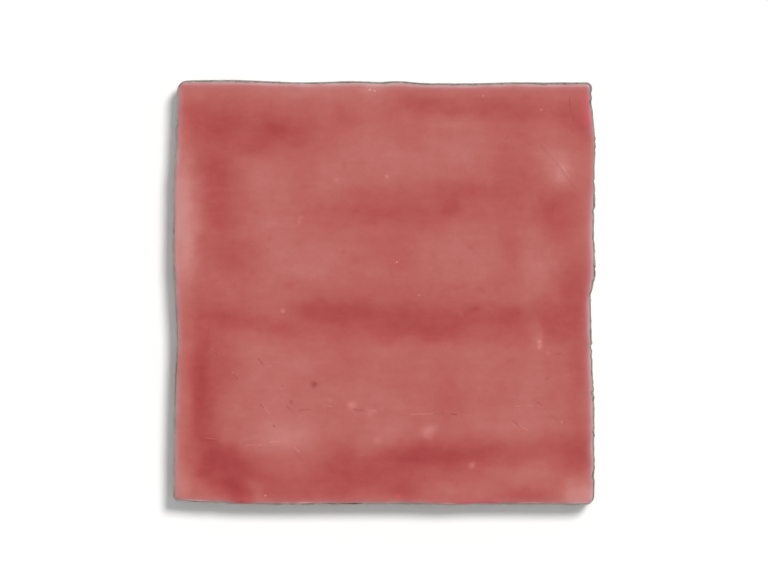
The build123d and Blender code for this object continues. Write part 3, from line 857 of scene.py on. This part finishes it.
glazeLook = {
    # colour as it shows, from where the clay shows through to the deepest pool
    "colours": [
        (-1.05, (196, 168, 163)), (-0.8, (196, 155, 152)), (-0.56, (204, 143, 136)),
        (-0.32, (203, 131, 126)), (-0.08, (195, 119, 113)), (0.16, (189, 107, 101)), (0.4, (183, 95, 91)),
        (0.64, (176, 83, 80)), (0.88, (167, 71, 71)), (1.1, (160, 62, 62)),
    ],
    "glossAdds": 0.04,  # what the gloss adds in a white room, taken off the colours below it
    "roughness": (0.15, 0.26),  # least and most, in clouds
    "cloudSize": 6.25,
    "cloudRange": (0.3, 0.7),
    "grooveRoughness": 0.4,  # what hairlines and pin holes add to it
    "rimRoughness": 0.25,
    "ior": 1.5,
    "waves": (4, 0.02),  # relief: cell size and height
    "peel": (0.714, 0.003),
    "pinDepth": 0.05,
    "mottling": [(8, 0.12), (3, 0.10), (1.1, 0.065), (0.35, 0.034)],  # cell size, strength in depth
    "streaks": [(2.5, 0.08), (0.9, 0.04)],
    "streakScale": (0.25, 1, 1),  # draws the streaks out along x
    "rimColour": (200, 166, 170),
    # colour of the painted highlights on the lip
    "lipHighlightColour": (244, 190, 187),
    "paleMark": (241, 154, 148),
    "darkMark": (134, 26, 22),
    "redMark": (206, 66, 88),
    "lineShake": (3, 0.5),  # noise that shakes the marks: cell size, how far
    "spotShake": (2.2, 1.6),
    # noise that breaks the hairlines: cell size, from which value to which, how faint they get
    "lineBreaks": (1.43, 0.35, 0.55, 0.35),
    "paleHairlines": [
        (54.7, 39.1, 56.9, 36, 0.28, 0.28), (50.1, -36, 51.9, -37.9, 0.25, 0.15),
        (41.7, -40.9, 44.5, -42.8, 0.25, 0.22), (-53.1, -17.1, -51.9, -18.7, 0.25, 0.2),
        (-37.4, -34.8, -35.2, -37.5, 0.28, 0.22), (-29.7, -46.8, -29, -47.7, 0.25, 0.12),
        (-27.5, -47.7, -26.3, -49, 0.4, 0.28), (-18.5, -35.1, -16.1, -35.2, 0.22, 0.28),
        (-5.6, -36, -2.5, -36.6, 0.28, 0.25), (8.3, -37.4, 15.4, -37.4, 0.25, 0.24),
        (-55.6, -44.7, -51.6, -45.3, 0.28, 0.12), (-42.3, -47.1, -37.7, -47.1, 0.25, 0.18),
        (-35.2, -46.2, -32.1, -45.9, 0.25, 0.2), (40.5, -34.9, 42, -35.1, 0.25, 0.16),
        (43.3, -34.8, 45.7, -35.2, 0.25, 0.18), (48, -15.4, 48, -16.8, 1.3, 0.3),
        (-35.5, -23, -34.6, -22.4, 0.28, 0.15), (-46.7, -24.6, -46.4, -24.9, 0.25, 0.2),
        (-25.4, 23.4, -26.2, 21.6, 1, 0.14),
    ],
    "darkHairlines": [
        (48.5, 45.3, 53.1, 40, 0.32, 0.4), (53.1, 40, 59, 32, 0.32, 0.3),
        (57.2, 60.1, 57.5, 56.4, 0.36, 0.75), (57.5, 56.4, 58.7, 52.7, 0.34, 0.75),
        (47, -33.5, 49.1, -35.1, 0.34, 0.5), (49.1, -35.1, 53.1, -39.4, 0.32, 0.35),
        (39.9, -39.7, 41.7, -41.3, 0.34, 0.55), (-52.5, -17.8, -51.3, -19.6, 0.32, 0.5),
        (-38.9, -20.2, -37.4, -22.1, 0.34, 0.6), (-46.4, -25.2, -45.1, -26.7, 0.32, 0.5),
        (-38.3, -34.5, -37.1, -35.4, 0.32, 0.6), (-30, -34.8, -28.7, -36.6, 0.32, 0.5),
        (-27.8, -49.3, -25.3, -51.8, 0.32, 0.5), (-26.3, -36.3, -22.9, -36, 0.36, 0.35),
        (-9.3, -36, -6.5, -36.5, 0.4, 0.65), (15.1, -37.5, 18.2, -37.5, 0.3, 0.4),
        (20.7, -37.5, 22.2, -37.7, 0.36, 0.75), (-55.3, -45.6, -51.9, -45.7, 0.34, 0.5),
        (-51.9, -45.7, -50.4, -47.4, 0.34, 0.45), (53.1, -19, 54.4, -19, 0.32, 0.4),
        (40.9, 49.2, 42.6, 48.7, 0.4, 0.5), (37.2, 47.1, 38.6, 48.4, 0.4, 0.4),
    ],
    "pinHoles": [
        (-4.3, 62.6, 0.49, 0.9), (-2.8, 62.3, 0.49, 0.6), (48.5, 56.4, 0.43, 0.45),
        (30.6, 60.7, 0.56, 0.25), (-13.3, 13.4, 0.31, 0.2), (4, 9.4, 0.37, 0.85), (-36.5, -62.6, 0.49, 0.5),
        (-31.2, -6, 0.62, 0.3), (10.8, -0.8, 0.62, 0.25),
    ],
    "paleSpots": [
        (-9.9, -34.8, 2.3, 0.3), (-4, -37.5, 1.8, 0.12), (13.6, -43.1, 2.9, 0.22), (-1.9, -45.6, 2, 0.13),
        (27.2, -53.3, 1.7, 0.25), (-16.7, -33.2, 0.9, 0.1), (50.7, -18.7, 1.2, 0.12),
        (55, -39.7, 0.6, 0.25), (0.9, 35.7, 1.1, 0.3), (-31.2, -5.7, 1.1, 0.3), (-14.6, 34.8, 1.6, 0.14),
    ],
    "darkSpots": [
        (-21.6, -28.3, 1.7, 0.65), (-34, -41.3, 0.8, 0.5), (50.4, -26.4, 1, 0.3), (37.4, -29.8, 0.7, 0.22),
        (-31.5, -28.9, 0.6, 0.35), (-28.7, -33.8, 0.9, 0.4), (58.1, 49.9, 0.9, 0.25),
        (-26.6, 49.3, 0.6, 0.1),
    ],
    # deep red places by the rim
    "redStrokes": [
        (4.3, -63, 4.3, -63, 1.3, 0.65), (62.8, 60.5, 63, 53, 2.8, 0.5),
        (-47, -64.2, -41, -64.4, 0.9, 0.22), (24, -64.6, 36, -64.6, 1.2, 0.5),
        (-63.6, 58, -63, 47, 1.4, 0.25),
    ],
}


# The place on the face, shifted to and fro by noise of one cell size, with its height left out.
def shakenPlace(tree, place, cellSize, amount):
    noise = noiseOf(tree, place, cellSize, detail=3.0)["Color"]
    away = vectorMaths(tree, "SUBTRACT", noise, (0.5, 0.5, 0.5))
    moved = vectorMaths(tree, "MULTIPLY_ADD", away, (amount * millimetre, amount * millimetre, 0), place)
    return vectorMaths(tree, "MULTIPLY", moved, (1, 1, 0))


# Masks of the marks, found by their place on the face: hairlines are barely shaken, and spots more.
def glazeMarks(tree, place):
    group = strokeGroup()
    linePlace = shakenPlace(tree, place, *glazeLook["lineShake"])
    spotPlace = shakenPlace(tree, place, *glazeLook["spotShake"])
    cellSize, low, high, faintest = glazeLook["lineBreaks"]
    broken = spread(tree, noiseOf(tree, place, cellSize)["Fac"], low, high, faintest, 1.0)
    masks = {"redStrokes": strokes(tree, group, spotPlace, glazeLook["redStrokes"])}
    for name in ("paleHairlines", "darkHairlines"):
        masks[name] = maths(tree, "MULTIPLY", strokes(tree, group, linePlace, glazeLook[name]), broken)
    for name, where in (("pinHoles", linePlace), ("paleSpots", spotPlace), ("darkSpots", spotPlace)):
        spots = [(x, y, x, y, halfWidth, strength) for x, y, halfWidth, strength in glazeLook[name]]
        masks[name] = strokes(tree, group, where, spots)
    return masks


# Glaze: the colour of its depth, with the marks, the rim and the painted highlights on the lip laid over it,
# and a faint relief.
def roseGlaze():
    material, tree = newMaterial("roseGlaze")
    place = addNode(tree, "ShaderNodeTexCoord").outputs["Object"]
    drawnOut = {"Vector": place, "Scale": glazeLook["streakScale"]}
    streaked = addNode(tree, "ShaderNodeMapping", drawnOut).outputs["Vector"]
    depth = attributeOf(tree, "glazeDepth")
    for name, where in (("mottling", place), ("streaks", streaked)):
        for cellSize, strength in glazeLook[name]:
            depth = maths(tree, "ADD", depth, centredNoise(tree, where, cellSize, strength))
    gloss = glazeLook["glossAdds"]
    colour = colourBy(tree, depth, glazeLook["colours"], gloss)

    marks = glazeMarks(tree, place)
    fineMarks = maths(tree, "MAXIMUM", marks["paleHairlines"], marks["pinHoles"])
    groove = maths(tree, "MAXIMUM", marks["darkHairlines"], fineMarks)
    pale = maths(tree, "MAXIMUM", fineMarks, marks["paleSpots"])
    dark = maths(tree, "MAXIMUM", marks["darkHairlines"], marks["darkSpots"])
    for mask, name in ((pale, "paleMark"), (dark, "darkMark"), (marks["redStrokes"], "redMark")):
        colour = mixColours(tree, mask, colour, screenColour(*glazeLook[name]))
    rim = attributeOf(tree, "glazeRim")
    colour = mixColours(tree, rim, colour, screenColour(*glazeLook["rimColour"], gloss=gloss))
    # painted highlights along the lip
    colour = mixColours(tree, attributeOf(tree, "lipHighlight"), colour, screenColour(*glazeLook["lipHighlightColour"]))

    cloud = noiseOf(tree, place, glazeLook["cloudSize"], detail=4.0)["Fac"]
    rough = spread(tree, cloud, *glazeLook["cloudRange"], *glazeLook["roughness"])
    rough = maths(tree, "MULTIPLY_ADD", groove, glazeLook["grooveRoughness"], rough)
    rough = maths(tree, "MULTIPLY_ADD", rim, glazeLook["rimRoughness"], rough)
    waveSize, waveHeight = glazeLook["waves"]
    peelSize, peelHeight = glazeLook["peel"]
    relief = maths(tree, "MULTIPLY", noiseOf(tree, place, waveSize)["Fac"], waveHeight)
    peel = noiseOf(tree, place, peelSize, detail=1.0)["Fac"]
    relief = maths(tree, "MULTIPLY_ADD", peel, peelHeight, relief)
    relief = maths(tree, "MULTIPLY_ADD", marks["pinHoles"], -glazeLook["pinDepth"], relief)
    finishSurface(tree, relief, {"Base Color": colour, "Roughness": rough, "IOR": glazeLook["ior"]})
    return material


clayLook = {
    "colours": [(0.28, (152, 142, 133)), (0.5, (188, 176, 167)), (0.72, (206, 196, 187))],
    # colour of the painted shade beside the glaze
    "paintedShade": (100, 93, 88),
    "gap": (96, 50, 41),  # painted shadow under the lip of the glaze
    "cloudSize": 5.5,  # cells of its patches, grog and grain, in millimetres
    "grogSize": 0.85,
    "grainSize": 0.67,
    "poreDark": 0.5,  # how dark a pore is, as a share of the clay round it
    "poreReach": 0.3,  # how wide one is, as a share of its cell
    "shadePatches": (1.6, 0.9),  # patches of the painted shade: cell size and strength
    "grainHeight": 0.12,  # relief
    "poreHeight": 0.08,
    "roughness": 0.88,
}


# Bare clay: cloudy, with dark pores, painted shade beside the glaze that is heaviest on the top and right
# sides, and painted shadow darkest in the gap under its lip.
def firedClay():
    material, tree = newMaterial("firedClay")
    place = addNode(tree, "ShaderNodeTexCoord").outputs["Object"]
    cloud = noiseOf(tree, place, clayLook["cloudSize"], detail=5.0, roughness=0.65)["Fac"]
    colour = colourBy(tree, cloud, clayLook["colours"])
    cells = {"Vector": place, "Scale": 1 / (clayLook["grogSize"] * millimetre)}
    grog = addNode(tree, "ShaderNodeTexVoronoi", cells).outputs["Distance"]
    pores = spread(tree, grog, 0.0, clayLook["poreReach"], clayLook["poreDark"], 1.0)
    colour = mixColours(tree, 1.0, colour, pores, blend="MULTIPLY")
    # painted shade beside the glaze, broken into patches, then the painted shadow under the lip
    paintedShade = attributeOf(tree, "paintedShade")
    patches = centredNoise(tree, place, *clayLook["shadePatches"])
    paintedShade = maths(tree, "MULTIPLY_ADD", paintedShade, patches, paintedShade, clamp=True)
    for share, name in ((paintedShade, "paintedShade"), (attributeOf(tree, "underLipShade"), "gap")):
        colour = mixColours(tree, share, colour, screenColour(*clayLook[name]))
    grain = noiseOf(tree, place, clayLook["grainSize"], detail=4.0, roughness=0.7)["Fac"]
    relief = maths(tree, "MULTIPLY", grain, clayLook["grainHeight"])
    relief = maths(tree, "MULTIPLY_ADD", pores, clayLook["poreHeight"], relief)
    finishSurface(tree, relief, {"Base Color": colour, "Roughness": clayLook["roughness"]})
    return material


studio = {
    "floorHalf": 3,  # metres
    "floorWhite": 0.85,
    "floorSeen": 1,  # as the camera sees it
    "sunSlopeX": 0.42,  # how far the light travels to the left, and down the picture, per unit it falls
    "sunSlopeY": 0.495,
    "sunAngle": 18,
    "sunPower": 2.32,
    "skyPower": 0.35,
    "skyColour": (0.975, 1, 1.01),
    "sunColour": (1, 0.98, 0.965),
    "overheadPower": 0.2,  # soft fill from straight above
    "overheadAngle": 40,
    "lens": 300,
    "sensorWidth": 36,
    "farthest": 20,
    "frameWidth": 0.2373,  # metres across the picture at the height of the face
    "frameHeight": 0.0064,
}


# 1 for rays from the camera, by reflection or through glass, so that each of them meets a white room.
def seenDirectly(tree):
    path = addNode(tree, "ShaderNodeLightPath").outputs
    seen = maths(tree, "MAXIMUM", path["Is Camera Ray"], path["Is Glossy Ray"])
    return maths(tree, "MAXIMUM", seen, path["Is Transmission Ray"])


def buildFloor():
    half = studio["floorHalf"]
    mesh = bpy.data.meshes.new("studioFloor")
    corners = [(-half, -half, 0), (half, -half, 0), (half, half, 0), (-half, half, 0)]
    mesh.from_pydata(corners, [], [(0, 1, 2, 3)])
    material, tree = newMaterial("whiteFloor")
    white = spread(tree, seenDirectly(tree), 0.0, 1.0, studio["floorWhite"], studio["floorSeen"])
    matte = addNode(tree, "ShaderNodeBsdfDiffuse", {"Color": white})
    addNode(tree, "ShaderNodeOutputMaterial", {"Surface": matte.outputs[0]})
    mesh.materials.append(material)
    floor = addObject("studioFloor", mesh)


# A distant lamp, shining straight down: its power, and its width in degrees.
def addSun(name, power, width):
    sun = bpy.data.lights.new(name, "SUN")
    sun.energy = power
    sun.angle = np.radians(width)
    return addObject(name, sun)


def buildLight():
    lamp = addSun("windowLight", studio["sunPower"], studio["sunAngle"])
    lamp.data.color = studio["sunColour"]
    zenith = np.arctan(np.hypot(studio["sunSlopeX"], studio["sunSlopeY"]))
    lamp.rotation_euler = (zenith, 0, np.arctan2(studio["sunSlopeX"], -studio["sunSlopeY"]))
    overhead = addSun("overheadFill", studio["overheadPower"], studio["overheadAngle"])
    overhead.visible_glossy = False


def buildSky():
    world = bpy.data.worlds.new("studioSky")
    world.use_nodes = True
    tree = world.node_tree
    tree.nodes.clear()
    strength = spread(tree, seenDirectly(tree), 0.0, 1.0, studio["skyPower"], 1.0)
    sky = addNode(tree, "ShaderNodeBackground", {"Color": (*studio["skyColour"], 1), "Strength": strength})
    addNode(tree, "ShaderNodeOutputWorld", {"Surface": sky.outputs[0]})
    bpy.context.scene.world = world


# A long lens over the middle of the tile, looking straight down, from where the picture has its width.
def buildCamera():
    data = bpy.data.cameras.new("camera")
    data.lens = studio["lens"]
    data.sensor_width = studio["sensorWidth"]
    data.clip_end = studio["farthest"]
    camera = addObject("camera", data)
    distance = studio["frameWidth"] * data.lens / data.sensor_width
    camera.location = (0, 0, studio["frameHeight"] + distance)
    bpy.context.scene.camera = camera


tile = buildTile()
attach(tile, "root")
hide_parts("tile")
print("tile placed on the frame")

buildFloor()
buildLight()
buildSky()
buildCamera()
bpy.context.scene.view_settings.view_transform = "Standard"
print("studio ready")
